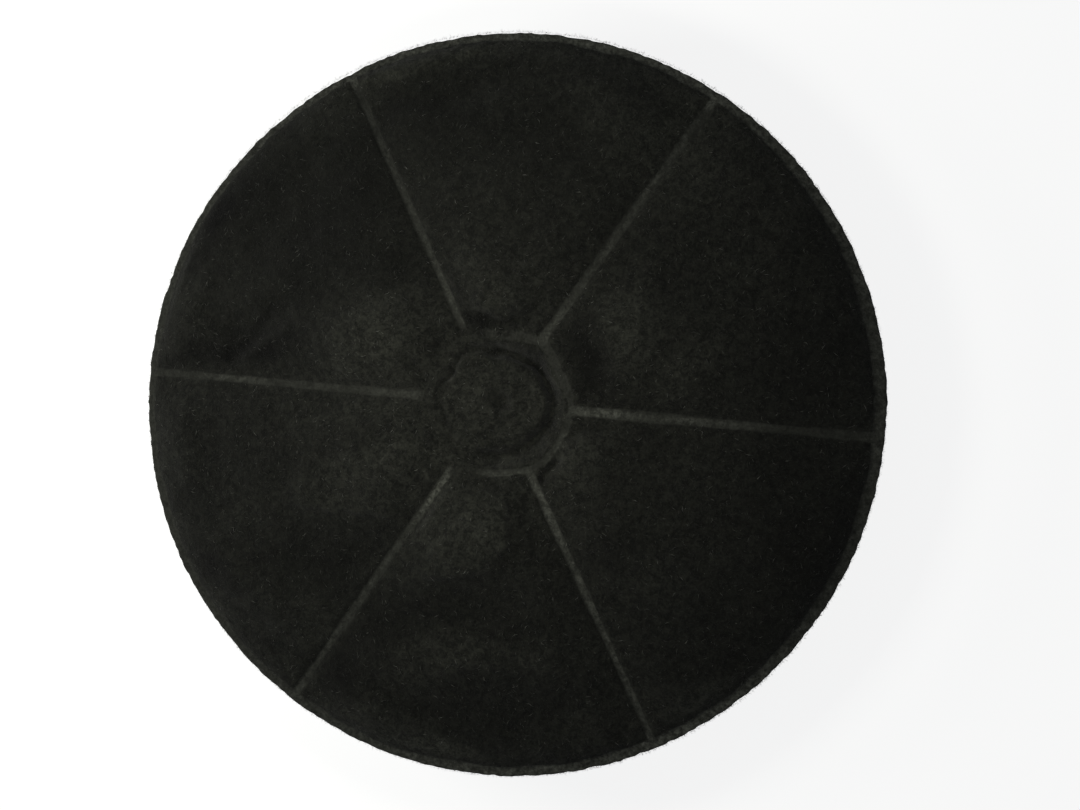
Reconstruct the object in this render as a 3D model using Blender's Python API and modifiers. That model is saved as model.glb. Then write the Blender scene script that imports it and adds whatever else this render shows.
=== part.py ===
"""Round carbon filter for a cooker hood.

A moulded tray with a grille floor, six ribs and a bayonet hub holds six beds of carbon granules on felt liners.
A round felt cover is welded over them, to the rim, the ribs and the hub ring. The filter lies on its grille,
with the felt up, and its origin is in the middle of the underside.
"""

import math

import bmesh
import bpy

# Driving dimensions, in metres and degrees

# Felt cover
COVER_RADIUS = 0.105
COVER_OVERHANG = 0.0004
FELT_THICKNESS = 0.002
WELD_THICKNESS = 0.0008
PILLOW_RISE = 0.0028
PILLOW_SHOULDER = 0.016
DISC_DROP = 0.0010
CHANNEL_DROP = 0.0036
DIMPLE_RADIUS = 0.0030
DIMPLE_DEPTH = 0.0009
DIMPLE_SLOPE = 0.0012

# Lumps and hollows of the felt: middle, half length and half width as shares of the cover's radius, then the turn
# in degrees and the height in metres
LUMPS = (
    (-0.35, 0.18, 0.145, 0.105, 12, 0.0021),
    (-0.08, 0.33, 0.105, 0.090, 100, 0.0018),
    (0.35, 0.19, 0.110, 0.085, 70, 0.0021),
    (0.50, 0.06, 0.095, 0.060, 10, 0.0010),
    (-0.11, -0.34, 0.130, 0.105, 15, 0.0022),
    (0.22, -0.13, 0.067, 0.057, 60, 0.0013),
    (-0.31, -0.14, 0.170, 0.115, -20, 0.0015),
    (-0.88, 0.28, 0.160, 0.070, 75, 0.0011),
    (-0.72, 0.18, 0.145, 0.060, 25, -0.0013),
    (-0.44, -0.39, 0.160, 0.080, 10, -0.0012),
    (-0.15, -0.54, 0.230, 0.070, 6, -0.0013),
    (-0.06, -0.67, 0.230, 0.060, 4, 0.0009),
    (0.04, -0.82, 0.270, 0.070, 4, -0.0010),
    (-0.32, -0.85, 0.150, 0.060, -22, 0.0009),
    (-0.65, -0.53, 0.160, 0.060, -35, 0.0009),
    (-0.57, 0.53, 0.210, 0.120, 42, -0.0013),
    (-0.26, 0.91, 0.160, 0.050, 17, 0.0012),
    (0.31, 0.75, 0.130, 0.075, -35, 0.0010),
    (0.38, -0.40, 0.125, 0.095, -30, 0.0008),
)
LUMP_FADE = 0.0030

# Rim wall and the weld land on it
LAND_HEIGHT = 0.0235
LAND_WIDTH = 0.0026
LAND_DEPTH = 0.0020
WALL_THICKNESS = 0.0018
WALL_DRAFT = 0.0012
EDGE_CHAMFER = 0.0005

# Grille floor
FLOOR_THICKNESS = 0.0020
FLOOR_BORDER = 0.0055
HUB_COLLAR = 0.0015
GRILLE_RINGS = 6
GRILLE_RING_WIDTH = 0.0020
GRILLE_BAR_WIDTH = 0.0020
COARSE_SLOT_ROWS = 3
COARSE_SLOTS_PER_BAY = 2
FINE_SLOTS_PER_BAY = 4

# Ribs
RIB_COUNT = 6
RIB_WIDTH = 0.0018
RIB_FOOT = 0.0002
FIRST_RIB_ANGLE = -5.4

# Hub: the ring that the cover is welded to, and the bayonet socket inside it
HUB_RADIUS = 0.0205
HUB_RING_WIDTH = 0.0018
SOCKET_RADIUS = 0.0090
SOCKET_WALL = 0.0015
CAP_THICKNESS = 0.0018
LUG_COUNT = 3
LUG_REACH = 0.0018
LUG_HEIGHT = 0.0022
LUG_RECESS = 0.0006
LUG_ARC = 36.0

# Liners and granule beds
LINER_THICKNESS = 0.0015

# Clearance between pieces that touch, from a plastic edge to the felt that bends round it, and over the granules
GAP = 0.0003
WELD_MARGIN = 0.0004
BED_ROOM = 0.0006

# Fineness of the round shapes
TURN_STEPS = 72
COARSE_ARC_STEPS = 4
FINE_ARC_STEPS = 3
BAY_SHARES = (0.0, 0.05, 0.13, 0.24, 0.37, 0.5, 0.63, 0.76, 0.87, 0.95, 1.0)
MIDDLE_ROWS = 5

# Values that follow from them
RIM_RADIUS = COVER_RADIUS - COVER_OVERHANG
FOOT_RADIUS = RIM_RADIUS - WALL_DRAFT
LAND_INNER_RADIUS = RIM_RADIUS - LAND_WIDTH
FLOOR_RADIUS = FOOT_RADIUS - WALL_THICKNESS
HUB_INNER_RADIUS = HUB_RADIUS - HUB_RING_WIDTH
BOSS_RADIUS = SOCKET_RADIUS + SOCKET_WALL
BAY_ANGLE = 2 * math.pi / RIB_COUNT

WELD_LEVEL = LAND_HEIGHT + GAP + WELD_THICKNESS
RIM_WELD_RADIUS = LAND_INNER_RADIUS - WELD_MARGIN
HUB_WELD_RADIUS = HUB_RADIUS + WELD_MARGIN
HUB_WELD_INNER_RADIUS = HUB_INNER_RADIUS - WELD_MARGIN
RIB_WELD_HALF = RIB_WIDTH / 2 + WELD_MARGIN
DISC_RADIUS = BOSS_RADIUS + 0.8 * FELT_THICKNESS
CHANNEL_RADIUS = (DISC_RADIUS + HUB_WELD_INNER_RADIUS) / 2
CAP_LEVEL = WELD_LEVEL - DISC_DROP - FELT_THICKNESS - GAP
RECESS_RADIUS = DIMPLE_RADIUS + DIMPLE_SLOPE + GAP

TURN_FLATNESS = math.cos(math.pi / TURN_STEPS)
BAY_INNER_RADIUS = HUB_RADIUS + GAP
BAY_OUTER_RADIUS = min(LAND_INNER_RADIUS, FLOOR_RADIUS) * TURN_FLATNESS - GAP
SLOT_INNER_RADIUS = HUB_RADIUS + HUB_COLLAR
SLOT_OUTER_RADIUS = FLOOR_RADIUS - FLOOR_BORDER
SLOT_ROWS = GRILLE_RINGS + 1
LINER_LEVEL = FLOOR_THICKNESS + GAP
BED_LEVEL = LINER_LEVEL + LINER_THICKNESS + GAP


def clear_scene():
    for item in list(bpy.data.objects):
        bpy.data.objects.remove(item, do_unlink=True)


def new_collection(name):
    collection = bpy.data.collections.new(name)
    bpy.context.scene.collection.children.link(collection)
    return collection


def new_material(name, colour, roughness):
    material = bpy.data.materials.new(name)
    material.use_nodes = True
    shader = material.node_tree.nodes["Principled BSDF"]
    shader.inputs["Base Color"].default_value = (*colour, 1.0)
    shader.inputs["Roughness"].default_value = roughness
    shader.inputs["Metallic"].default_value = 0.0
    return material


def new_object(name, bm, collection, material=None):
    """Turn a bmesh into an object of this collection."""
    mesh = bpy.data.meshes.new(name)
    bm.to_mesh(mesh)
    bm.free()
    item = bpy.data.objects.new(name, mesh)
    collection.objects.link(item)
    if material:
        mesh.materials.append(material)
    return item


def hide_helper(item):
    item.hide_render = True
    item.display_type = "WIRE"


def add_boolean(item, helper, operation):
    modifier = item.modifiers.new(helper.name, "BOOLEAN")
    modifier.operation = operation
    modifier.object = helper
    modifier.solver = "EXACT"


def shade_round(item):
    """Apply the modifiers, then smooth the round faces and keep the edges sharp."""
    graph = bpy.context.evaluated_depsgraph_get()
    mesh = bpy.data.meshes.new_from_object(item.evaluated_get(graph))
    item.modifiers.clear()
    item.data = mesh
    mesh.shade_smooth()
    mesh.set_sharp_from_angle(angle=math.radians(30))


def on_circle(radius, angle, height):
    return (radius * math.cos(angle), radius * math.sin(angle), height)


def rib_angle(index):
    return math.radians(FIRST_RIB_ANGLE) + index * BAY_ANGLE


def bay_angle(radius, share, rib_half):
    """Angle from a bay's first rib, at this share of the way between two ribs of this half width."""
    edge = math.asin(min(rib_half / max(radius, HUB_INNER_RADIUS), 1.0))
    return edge + share * (BAY_ANGLE - 2 * edge)


def rise_from(distance):
    """Share of its full height that the felt has at this distance from a weld."""
    share = min(max(distance / PILLOW_SHOULDER, 0.0), 1.0)
    return 1 - (1 - share) ** 2


def hub_height(radius):
    """Top of the felt inside the hub ring: a channel round a flat disc that has a dimple in its middle."""
    if radius > DISC_RADIUS:
        half = (HUB_WELD_INNER_RADIUS - DISC_RADIUS) / 2
        across = min(abs(radius - CHANNEL_RADIUS) / half, 1.0)
        bank = DISC_DROP if radius < CHANNEL_RADIUS else 0.0
        return WELD_LEVEL - CHANNEL_DROP + (CHANNEL_DROP - bank) * across**2
    slope = min(max((radius - DIMPLE_RADIUS) / DIMPLE_SLOPE, 0.0), 1.0)
    return WELD_LEVEL - DISC_DROP - DIMPLE_DEPTH * (1 - slope)


def weld_distances(radius, angle):
    """Distances from the rim weld, the hub weld and the nearest rib weld. The angle starts at a rib."""
    across = angle % BAY_ANGLE
    nearest = radius * math.sin(min(across, BAY_ANGLE - across, math.pi / 2))
    return RIM_WELD_RADIUS - radius, radius - HUB_WELD_RADIUS, nearest - RIB_WELD_HALF


def lump_height(x, y):
    """Sum of the lumps and hollows at this place."""
    height = 0.0
    for middle_x, middle_y, half_length, half_width, turn, rise in LUMPS:
        away_x = x / COVER_RADIUS - middle_x
        away_y = y / COVER_RADIUS - middle_y
        turn = math.radians(turn)
        along = (away_x * math.cos(turn) + away_y * math.sin(turn)) / half_length
        across = (away_y * math.cos(turn) - away_x * math.sin(turn)) / half_width
        height += rise * math.exp(-((along**2 + across**2) ** 1.3))
    return height


def bay_height(radius, angle):
    """Top of the felt between the hub ring, the rim and two ribs. The angle starts at a rib."""
    distances = weld_distances(radius, angle)
    share = math.prod(rise_from(distance) for distance in distances)
    fade = min(max(min(distances) / LUMP_FADE, 0.0), 1.0)
    turned = rib_angle(0) + angle
    lumps = lump_height(radius * math.cos(turned), radius * math.sin(turned))
    return WELD_LEVEL + PILLOW_RISE * share + fade * lumps


def cover_height(radius, angle):
    if radius < HUB_WELD_INNER_RADIUS:
        return hub_height(radius)
    return bay_height(radius, angle)


def cover_radii():
    """Rows of the cover from its middle outwards, closest where the felt bends most."""
    span = RIM_WELD_RADIUS - HUB_WELD_RADIUS
    bend = min(PILLOW_SHOULDER / 4, span / 10)
    inner = HUB_WELD_RADIUS + min(PILLOW_SHOULDER, span / 4)
    outer = RIM_WELD_RADIUS - min(PILLOW_SHOULDER, span / 4)
    middles = [inner + (outer - inner) * row / MIDDLE_ROWS for row in range(MIDDLE_ROWS + 1)]
    return (
        0.0,
        DIMPLE_RADIUS,
        DIMPLE_RADIUS + DIMPLE_SLOPE,
        DISC_RADIUS,
        CHANNEL_RADIUS,
        HUB_WELD_INNER_RADIUS,
        HUB_WELD_RADIUS,
        HUB_WELD_RADIUS + bend,
        (HUB_WELD_RADIUS + bend + inner) / 2,
        *middles,
        (outer + RIM_WELD_RADIUS - bend) / 2,
        RIM_WELD_RADIUS - bend,
        RIM_WELD_RADIUS,
        COVER_RADIUS,
    )


def polar_sheet(radii, columns, point_at):
    """Open sheet of one quad for each pair of rows and columns, with the points that meet joined."""
    rows = len(radii) - 1
    bm = bmesh.new()
    bmesh.ops.create_grid(bm, x_segments=columns, y_segments=rows, size=1.0)
    for vertex in bm.verts:
        column = round((vertex.co.x + 1) / 2 * columns)
        row = round((vertex.co.y + 1) / 2 * rows)
        vertex.co = point_at(radii[row], column)
    bmesh.ops.remove_doubles(bm, verts=bm.verts, dist=1e-6)
    bmesh.ops.recalc_face_normals(bm, faces=bm.faces)
    if sum(face.normal.z for face in bm.faces) < 0:
        bmesh.ops.reverse_faces(bm, faces=bm.faces)
    return bm


def full_felt_points(mesh):
    """Points of the cover that lie outside the welds, where the felt keeps its full thickness."""
    found = []
    for vertex in mesh.vertices:
        radius = math.hypot(vertex.co.x, vertex.co.y)
        angle = math.atan2(vertex.co.y, vertex.co.x) - rib_angle(0)
        in_hub = radius < HUB_WELD_INNER_RADIUS - WELD_MARGIN / 2
        if in_hub or min(weld_distances(radius, angle)) > WELD_MARGIN / 2:
            found.append(vertex.index)
    return found


def build_cover(collection, material):
    per_bay = len(BAY_SHARES)

    def point_at(radius, column):
        bay, place = divmod(column, per_bay)
        angle = bay * BAY_ANGLE + bay_angle(radius, BAY_SHARES[place], RIB_WELD_HALF)
        return on_circle(radius, rib_angle(0) + angle, cover_height(radius, angle))

    bm = polar_sheet(cover_radii(), RIB_COUNT * per_bay, point_at)
    cover = new_object("felt_cover", bm, collection, material)
    thick = cover.vertex_groups.new(name="full_thickness")
    thick.add(full_felt_points(cover.data), 1.0, "REPLACE")
    solidify = cover.modifiers.new("felt", "SOLIDIFY")
    solidify.thickness = FELT_THICKNESS
    solidify.offset = -1.0
    solidify.vertex_group = thick.name
    solidify.thickness_vertex_group = WELD_THICKNESS / FELT_THICKNESS
    shade_round(cover)


def bay_prism(bay, radii, floor, top_at, name, collection, material):
    """Solid that fills one bay from a flat floor to the height that top_at gives."""
    rib_half = RIB_WIDTH / 2 + GAP

    def point_at(radius, column):
        angle = bay * BAY_ANGLE + bay_angle(radius, BAY_SHARES[column], rib_half)
        return on_circle(radius, rib_angle(0) + angle, top_at(radius, angle))

    bm = polar_sheet(radii, len(BAY_SHARES) - 1, point_at)
    edges = [edge for edge in bm.edges if edge.is_boundary]
    made = bmesh.ops.extrude_edge_only(bm, edges=edges)["geom"]
    for vertex in made:
        if isinstance(vertex, bmesh.types.BMVert):
            vertex.co.z = floor
    bmesh.ops.holes_fill(bm, edges=[edge for edge in bm.edges if edge.is_boundary], sides=0)
    bmesh.ops.recalc_face_normals(bm, faces=bm.faces)
    prism = new_object(name, bm, collection, material)
    shade_round(prism)


def build_liner(bay, collection, material):
    def top_at(radius, angle):
        return LINER_LEVEL + LINER_THICKNESS

    radii = (BAY_INNER_RADIUS, BAY_OUTER_RADIUS)
    bay_prism(bay, radii, LINER_LEVEL, top_at, f"liner_felt_{bay + 1}", collection, material)


def build_bed(bay, collection, material):
    """Granules under the felt, with a point under each point of the felt between the bay's walls."""
    between = [r for r in cover_radii() if BAY_INNER_RADIUS + WELD_MARGIN < r < BAY_OUTER_RADIUS - WELD_MARGIN]
    radii = (BAY_INNER_RADIUS, *between, BAY_OUTER_RADIUS)
    under_felt = FELT_THICKNESS + BED_ROOM

    def top_at(radius, angle):
        return bay_height(radius, angle) - under_felt

    bay_prism(bay, radii, BED_LEVEL, top_at, f"carbon_bed_{bay + 1}", collection, material)


def tray_profile():
    """Half section of the tray, from the middle of the hub cap round the outside to the socket's roof."""
    ledge = LAND_HEIGHT - LAND_DEPTH
    return (
        (0.0, CAP_LEVEL - DIMPLE_DEPTH),
        (RECESS_RADIUS, CAP_LEVEL - DIMPLE_DEPTH),
        (RECESS_RADIUS, CAP_LEVEL),
        (BOSS_RADIUS, CAP_LEVEL),
        (BOSS_RADIUS, FLOOR_THICKNESS),
        (HUB_INNER_RADIUS, FLOOR_THICKNESS),
        (HUB_INNER_RADIUS, LAND_HEIGHT),
        (HUB_RADIUS, LAND_HEIGHT),
        (HUB_RADIUS, FLOOR_THICKNESS),
        (FLOOR_RADIUS, FLOOR_THICKNESS),
        (RIM_RADIUS - WALL_THICKNESS, ledge),
        (LAND_INNER_RADIUS, ledge),
        (LAND_INNER_RADIUS, LAND_HEIGHT),
        (RIM_RADIUS - EDGE_CHAMFER, LAND_HEIGHT),
        (RIM_RADIUS, LAND_HEIGHT - EDGE_CHAMFER),
        (FOOT_RADIUS, EDGE_CHAMFER),
        (FOOT_RADIUS - EDGE_CHAMFER, 0.0),
        (SOCKET_RADIUS, 0.0),
        (SOCKET_RADIUS, CAP_LEVEL - DIMPLE_DEPTH - CAP_THICKNESS),
        (0.0, CAP_LEVEL - DIMPLE_DEPTH - CAP_THICKNESS),
    )


def turned(name, profile, collection, material=None):
    """Turn a profile in the XZ plane once round the Z axis."""
    bm = bmesh.new()
    points = [bm.verts.new((radius, 0.0, height)) for radius, height in profile]
    for first, second in zip(points, points[1:]):
        bm.edges.new((first, second))
    item = new_object(name, bm, collection, material)
    screw = item.modifiers.new("turn", "SCREW")
    screw.axis = "Z"
    screw.steps = TURN_STEPS
    screw.render_steps = TURN_STEPS
    screw.use_merge_vertices = True
    screw.merge_threshold = 0.00001
    screw.use_smooth_shade = True
    return item


def rib_walls(cutters):
    """The ribs, from the middle of the hub ring's wall to the middle of the rim's wall."""
    inner = HUB_RADIUS - HUB_RING_WIDTH / 2
    outer = RIM_RADIUS - LAND_WIDTH / 2
    foot = FLOOR_THICKNESS / 2
    length = outer - inner
    height = LAND_HEIGHT - foot
    bm = bmesh.new()
    for index in range(RIB_COUNT):
        made = bmesh.ops.create_cube(bm, size=1.0)["verts"]
        bmesh.ops.scale(bm, vec=(length, RIB_WIDTH, height), verts=made)
        bmesh.ops.translate(bm, vec=((inner + outer) / 2, 0.0, foot + height / 2), verts=made)
        turn = rib_angle(index)
        for vertex in made:
            x, y = vertex.co.x, vertex.co.y
            vertex.co.x = x * math.cos(turn) - y * math.sin(turn)
            vertex.co.y = x * math.sin(turn) + y * math.cos(turn)
    ribs = new_object("rib_walls", bm, cutters)
    hide_helper(ribs)
    return ribs


def arc_block(bm, radii, inner_angles, outer_angles, levels, steps):
    """Add a block between two radii and two levels, whose ends may slant from the inner to the outer arc."""
    outline = []
    for radius, (start, end) in zip(radii, (inner_angles, outer_angles)):
        arc = [start + (end - start) * step / steps for step in range(steps + 1)]
        if radius == radii[1]:
            arc.reverse()
        outline += [bm.verts.new(on_circle(radius, angle, levels[0])) for angle in arc]
    face = bm.faces.new(outline)
    made = bmesh.ops.extrude_face_region(bm, geom=[face])["geom"]
    for vertex in made:
        if isinstance(vertex, bmesh.types.BMVert):
            vertex.co.z = levels[1]


def slot_pattern(row):
    """Slots in each bay of this row, and steps in each slot's arc: the inner rows are short and take fewer."""
    if row < COARSE_SLOT_ROWS:
        return COARSE_SLOTS_PER_BAY, COARSE_ARC_STEPS
    return FINE_SLOTS_PER_BAY, FINE_ARC_STEPS


def slot_cutter(cutters):
    """Curved slots between the grille's rings, stopped at each bar and beside each rib."""
    pitch = (SLOT_OUTER_RADIUS - SLOT_INNER_RADIUS + GRILLE_RING_WIDTH) / SLOT_ROWS
    rib_half = RIB_WIDTH / 2 + RIB_FOOT
    levels = (-FLOOR_THICKNESS / 2, FLOOR_THICKNESS * 1.4)
    bm = bmesh.new()
    for row in range(SLOT_ROWS):
        inner = SLOT_INNER_RADIUS + row * pitch
        radii = (inner, inner + pitch - GRILLE_RING_WIDTH)
        count, steps = slot_pattern(row)
        for place in range(RIB_COUNT * count):
            bay, slot = divmod(place, count)
            start = rib_half if slot == 0 else GRILLE_BAR_WIDTH / 2
            end = rib_half if slot == count - 1 else GRILLE_BAR_WIDTH / 2
            first = rib_angle(bay) + BAY_ANGLE * slot / count
            last = first + BAY_ANGLE / count
            angles = [(first + math.asin(start / r), last - math.asin(end / r)) for r in radii]
            arc_block(bm, radii, angles[0], angles[1], levels, steps)
    bmesh.ops.recalc_face_normals(bm, faces=bm.faces)
    slots = new_object("slot_cutter", bm, cutters)
    hide_helper(slots)
    return slots


def bayonet_lugs(cutters):
    """Lugs in the socket's mouth, which the hood's bayonet turns behind."""
    radii = (SOCKET_RADIUS - LUG_REACH, SOCKET_RADIUS + SOCKET_WALL / 2)
    levels = (LUG_RECESS, LUG_RECESS + LUG_HEIGHT)
    bm = bmesh.new()
    for index in range(LUG_COUNT):
        middle = rib_angle(0) + index * 2 * math.pi / LUG_COUNT
        ends = (middle - math.radians(LUG_ARC) / 2, middle + math.radians(LUG_ARC) / 2)
        arc_block(bm, radii, ends, ends, levels, COARSE_ARC_STEPS)
    bmesh.ops.recalc_face_normals(bm, faces=bm.faces)
    lugs = new_object("bayonet_lugs", bm, cutters)
    hide_helper(lugs)
    return lugs


def build_housing(collection, cutters, material):
    housing = turned("housing", tray_profile(), collection, material)
    add_boolean(housing, rib_walls(cutters), "UNION")
    add_boolean(housing, slot_cutter(cutters), "DIFFERENCE")
    add_boolean(housing, bayonet_lugs(cutters), "UNION")
    shade_round(housing)


def main():
    clear_scene()
    parts = new_collection("cooker_hood_carbon_filter")
    cutters = new_collection("cutters")
    plastic = new_material("black_moulded_plastic", (0.012, 0.012, 0.012), 0.45)
    felt = new_material("black_needle_felt", (0.011, 0.011, 0.010), 0.95)
    liner = new_material("black_liner_felt", (0.013, 0.013, 0.013), 0.95)
    granules = new_material("carbon_granules", (0.009, 0.009, 0.009), 0.7)
    build_housing(parts, cutters, plastic)
    for bay in range(RIB_COUNT):
        build_liner(bay, parts, liner)
        build_bed(bay, parts, granules)
    build_cover(parts, felt)


main()
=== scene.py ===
"""A round cooker hood filter: black needle felt, welded over a moulded tray of carbon granules.

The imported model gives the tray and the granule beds. This script gives each surface its finish and lays
felt over them: the cover with its welds, lumps, creases and loose fibres, and six liners on the grille.
The felt is worked out in millimetres, with X to the right and Y to the top of the photograph.
"""

import math

import bpy
import numpy as np
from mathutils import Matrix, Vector


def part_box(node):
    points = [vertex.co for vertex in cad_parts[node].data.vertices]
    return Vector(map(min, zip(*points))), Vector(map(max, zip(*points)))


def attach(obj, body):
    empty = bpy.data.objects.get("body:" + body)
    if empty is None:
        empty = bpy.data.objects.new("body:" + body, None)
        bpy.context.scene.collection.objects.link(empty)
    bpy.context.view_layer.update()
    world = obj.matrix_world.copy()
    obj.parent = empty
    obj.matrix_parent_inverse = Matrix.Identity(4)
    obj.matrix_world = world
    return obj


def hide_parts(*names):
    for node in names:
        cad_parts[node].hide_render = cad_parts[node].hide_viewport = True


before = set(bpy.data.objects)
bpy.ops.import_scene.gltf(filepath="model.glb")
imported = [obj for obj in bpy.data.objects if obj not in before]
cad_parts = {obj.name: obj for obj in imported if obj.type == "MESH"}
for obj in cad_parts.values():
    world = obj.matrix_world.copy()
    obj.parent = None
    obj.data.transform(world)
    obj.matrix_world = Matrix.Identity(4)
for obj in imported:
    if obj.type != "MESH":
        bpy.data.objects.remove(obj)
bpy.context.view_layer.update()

MM = 0.001
SEED = 7

# The tray and the welds on it, in millimetres
COVER_RADIUS = 105.0
TRAY_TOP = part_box("housing")[1].z / MM
WELD_HEIGHT = 1.1
SEAT_GAP = 0.02
WELD_LEVEL = TRAY_TOP + WELD_HEIGHT
SEAT_LEVEL = TRAY_TOP + SEAT_GAP
RIB_COUNT = 6
FIRST_RIB_ANGLE = math.radians(-5.4)
BAY_ANGLE = math.tau / RIB_COUNT
RIM_WELD_RADIUS = 102.4
RIM_WELD_SHIFT = 0.55
RIM_WAVER = 1.5

# The weld on each rib, from the right one on: its width and its drift off the rib, at the hub and the rim
RIB_WELD_WIDTHS = ((2.7, 2.3), (2.3, 2.3), (1.9, 1.9), (2, 1.9), (2.1, 1.8), (2.4, 1.5))
RIB_WELD_DRIFTS = ((-0.15, 0.25), (0.45, -0.3), (0.5, 0), (-0.05, 0.3), (-0.6, 0), (-0.4, 0))

# The weld on the hub ring: its edges, its middle radius at some angles, and its half width, widest at one
HUB_WELD_RADIUS = 20.9
HUB_WELD_INNER = 18.3
HUB_WELD_ANGLES = (
    -5, 12, 27, 45, 55, 68, 88, 105, 115, 150,
    180, 225, 240, 255, 270, 285, 295, 310, 330,
)
HUB_WELD_MIDDLES = (
    20.2, 19.3, 18.7, 20, 20.9, 19.9, 19.1, 20.1, 20.7, 20,
    20, 20.6, 21, 20.3, 19.9, 20.2, 20.7, 20.5, 20,
)
HUB_WELD_HALF = 0.75
HUB_WELD_WIDENING = 0.45
WIDEST_ANGLE = math.radians(75)

# Where the felt bridges the hub ring on its left: band, reach along the left rib, margin by the ring
BRIDGE_BAND = (0.1, 0.45)
BRIDGE_REACH = 3.5
RING_MARGIN = 0.6

# The felt: thickness, how it rises beside the welds, and the swell of the granules under it
FELT_THICKNESS = 2.0
WELD_THICKNESS = WELD_LEVEL - SEAT_LEVEL
LEAST_THICKNESS = 0.7
THICKENING_REACH = 1.5
PRESSED = 0.5
PRESSED_BAND = (-0.05, 0.35)
EDGE_RISE = 0.32
RIM_ROLL, HUB_ROLL, RIB_ROLL = 2.6, 2.2, 2.0
PILLOW_RISE = 2.3
RIM_SHOULDER, HUB_SHOULDER, RIB_SHOULDER = 13, 11, 14.0
BED_RISE = 2.8
BED_SHOULDER = 16.0
BED_DEPTH = 2.2

# How far from the welds each sort of relief is at its full height
LUMP_REACH = 3.0
CREASE_REACH = 1.5
SWELL_REACH = 7.0
RIPPLE_REACH = 3.0
GRAIN_REACH = 2.0

# The hub: a disc with a dimple, in a channel, both shallower where the felt bridges them
CHANNEL_RADIUS = 14.7
CHANNEL_SHIFT = 2.1
CHANNEL_INNER_HALF = 2.6
CHANNEL_DEPTH = 2.9
DISC_DROP = 0.8
CHANNEL_BRIDGED = 0.8
DISC_BRIDGED = 0.5
DIMPLE_PLACE = (0.3, 0.3)
DIMPLE_DEPTH = 1.4
DIMPLE_FLAT, DIMPLE_SLOPE = 1, 3.2
DISC_RUFFLE = 0.32
CHANNEL_RUFFLE = 0.3
CHANNEL_RUFFLE_REACH = 3.5

# Small wrinkles that run outwards from the hub ring, and the bands where they grow and fade
PUCKER_HEIGHT = 0.4
PUCKER_GROWS = (21, 2.5)
PUCKER_FADES = (25, 13)
PUCKER_SEAM = 0.2
PUCKER_TURNS = 27.0
PUCKER_LENGTH = 3.0
PUCKER_SIZE = 3.4
PUCKER_SEED = 16

# Noise on the felt's forms and tones: strength, size and seed
WELD_WOBBLE = ((0.12, 2.2, 11), (0.22, 9, 12))
WELD_GRAIN = ((0.05, 1.2, 7),)
HUB_MIDDLE_WOBBLE = ((0.35, 5, 18),)
HUB_HALF_WOBBLE = ((0.35, 2.8, 13),)
CHANNEL_WOBBLE = ((0.9, 7, 14),)
CHANNEL_DEPTHS = ((0.35, 5, 15),)
RUFFLES = ((1, 3.8, 6),)
PUCKER_BENDS = ((1.6, 6, 17),)
SWELLS = ((0.34, 17, 3), (0.24, 7, 4))
RIPPLES = ((0.11, 3.4, 8),)
FINE_GRAIN = ((0.06, 1.2, 5),)
TONE_SWELLS = ((0.08, 26, 41), (0.08, 8, 42))
TONE_SPOTS = ((1, 3, 45),)
BORDER_SPOTS = ((1, 5, 46),)
EDGE_WAVES = ((0.16, 1.5, 51), (0.14, 6, 52))
SAG_WAVES = ((0.25, 5, 61),)
LINER_WAVES = ((0.05, 6, 63),)

# How far creases and the patches of painted light and shade are moved about by noise: reach, size and seed
LINE_WANDER = (0.5, 4, 31)
PAINTED_PATCH_WANDER = (2.2, 9, 43)

# Granules that press through the felt: height, size and seed, then how scattered and how alike they are
BAY_GRANULES = (0.15, 2, 21)
HUB_GRANULES = (0.12, 1.8, 22)
LINER_GRANULES = (0.03, 2, 62)
GRANULE_SCATTER = 0.42
GRANULE_LIKENESS = 0.6
GRANULE_REACH = 0.5

# Each patch in the tables below is a place, a half length, a half width, a turn in degrees, and how much.
# Lumps and hollows of the filling, in millimetres
LUMPS = (
    (-37, 19, 15, 11, 12, 2.1), (-5.5, 36, 11, 8.5, 100, 1.6), (36.5, 20, 11.5, 9, 70, 2.1),
    (52, 6, 10, 6.3, 10, 1), (-11, -36, 13.5, 11, 15, 2.2), (23.5, -14, 7, 6, 60, 1.3),
    (-33, -14, 18, 12, -20, 1.5), (-93, 30, 17, 7.3, 75, 1.1), (-94, -12, 16, 6, 95, 0.8),
    (-76, 19, 15, 6.3, 25, -1.3), (26.5, 9.5, 10.5, 5.6, 97, -2.3), (2, 23.8, 11, 2.8, -4, -1.5),
    (-46, -41, 17, 8.4, 10, -1.2), (-15, -57, 24, 7.3, 6, -1.3), (-6, -70, 24, 6.3, 4, 0.9),
    (4, -86, 28, 7.3, 4, -1), (-34, -89, 16, 6.3, -22, 0.9), (-68, -56, 17, 6.3, -35, 0.9),
    (-60, 56, 22, 12.6, 42, -1.3), (-27, 96, 17, 5, 17, 0.8), (-12, 88, 22, 5, 10, -0.9),
    (-4, 58, 17, 8, 20, 0.8), (33, 79, 14, 8, -35, 1), (62, 44, 13, 10, 60, 0.6),
    (40, -42, 13, 10, -30, 0.8), (60, -60, 14, 8, 40, -0.6),
)

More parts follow.
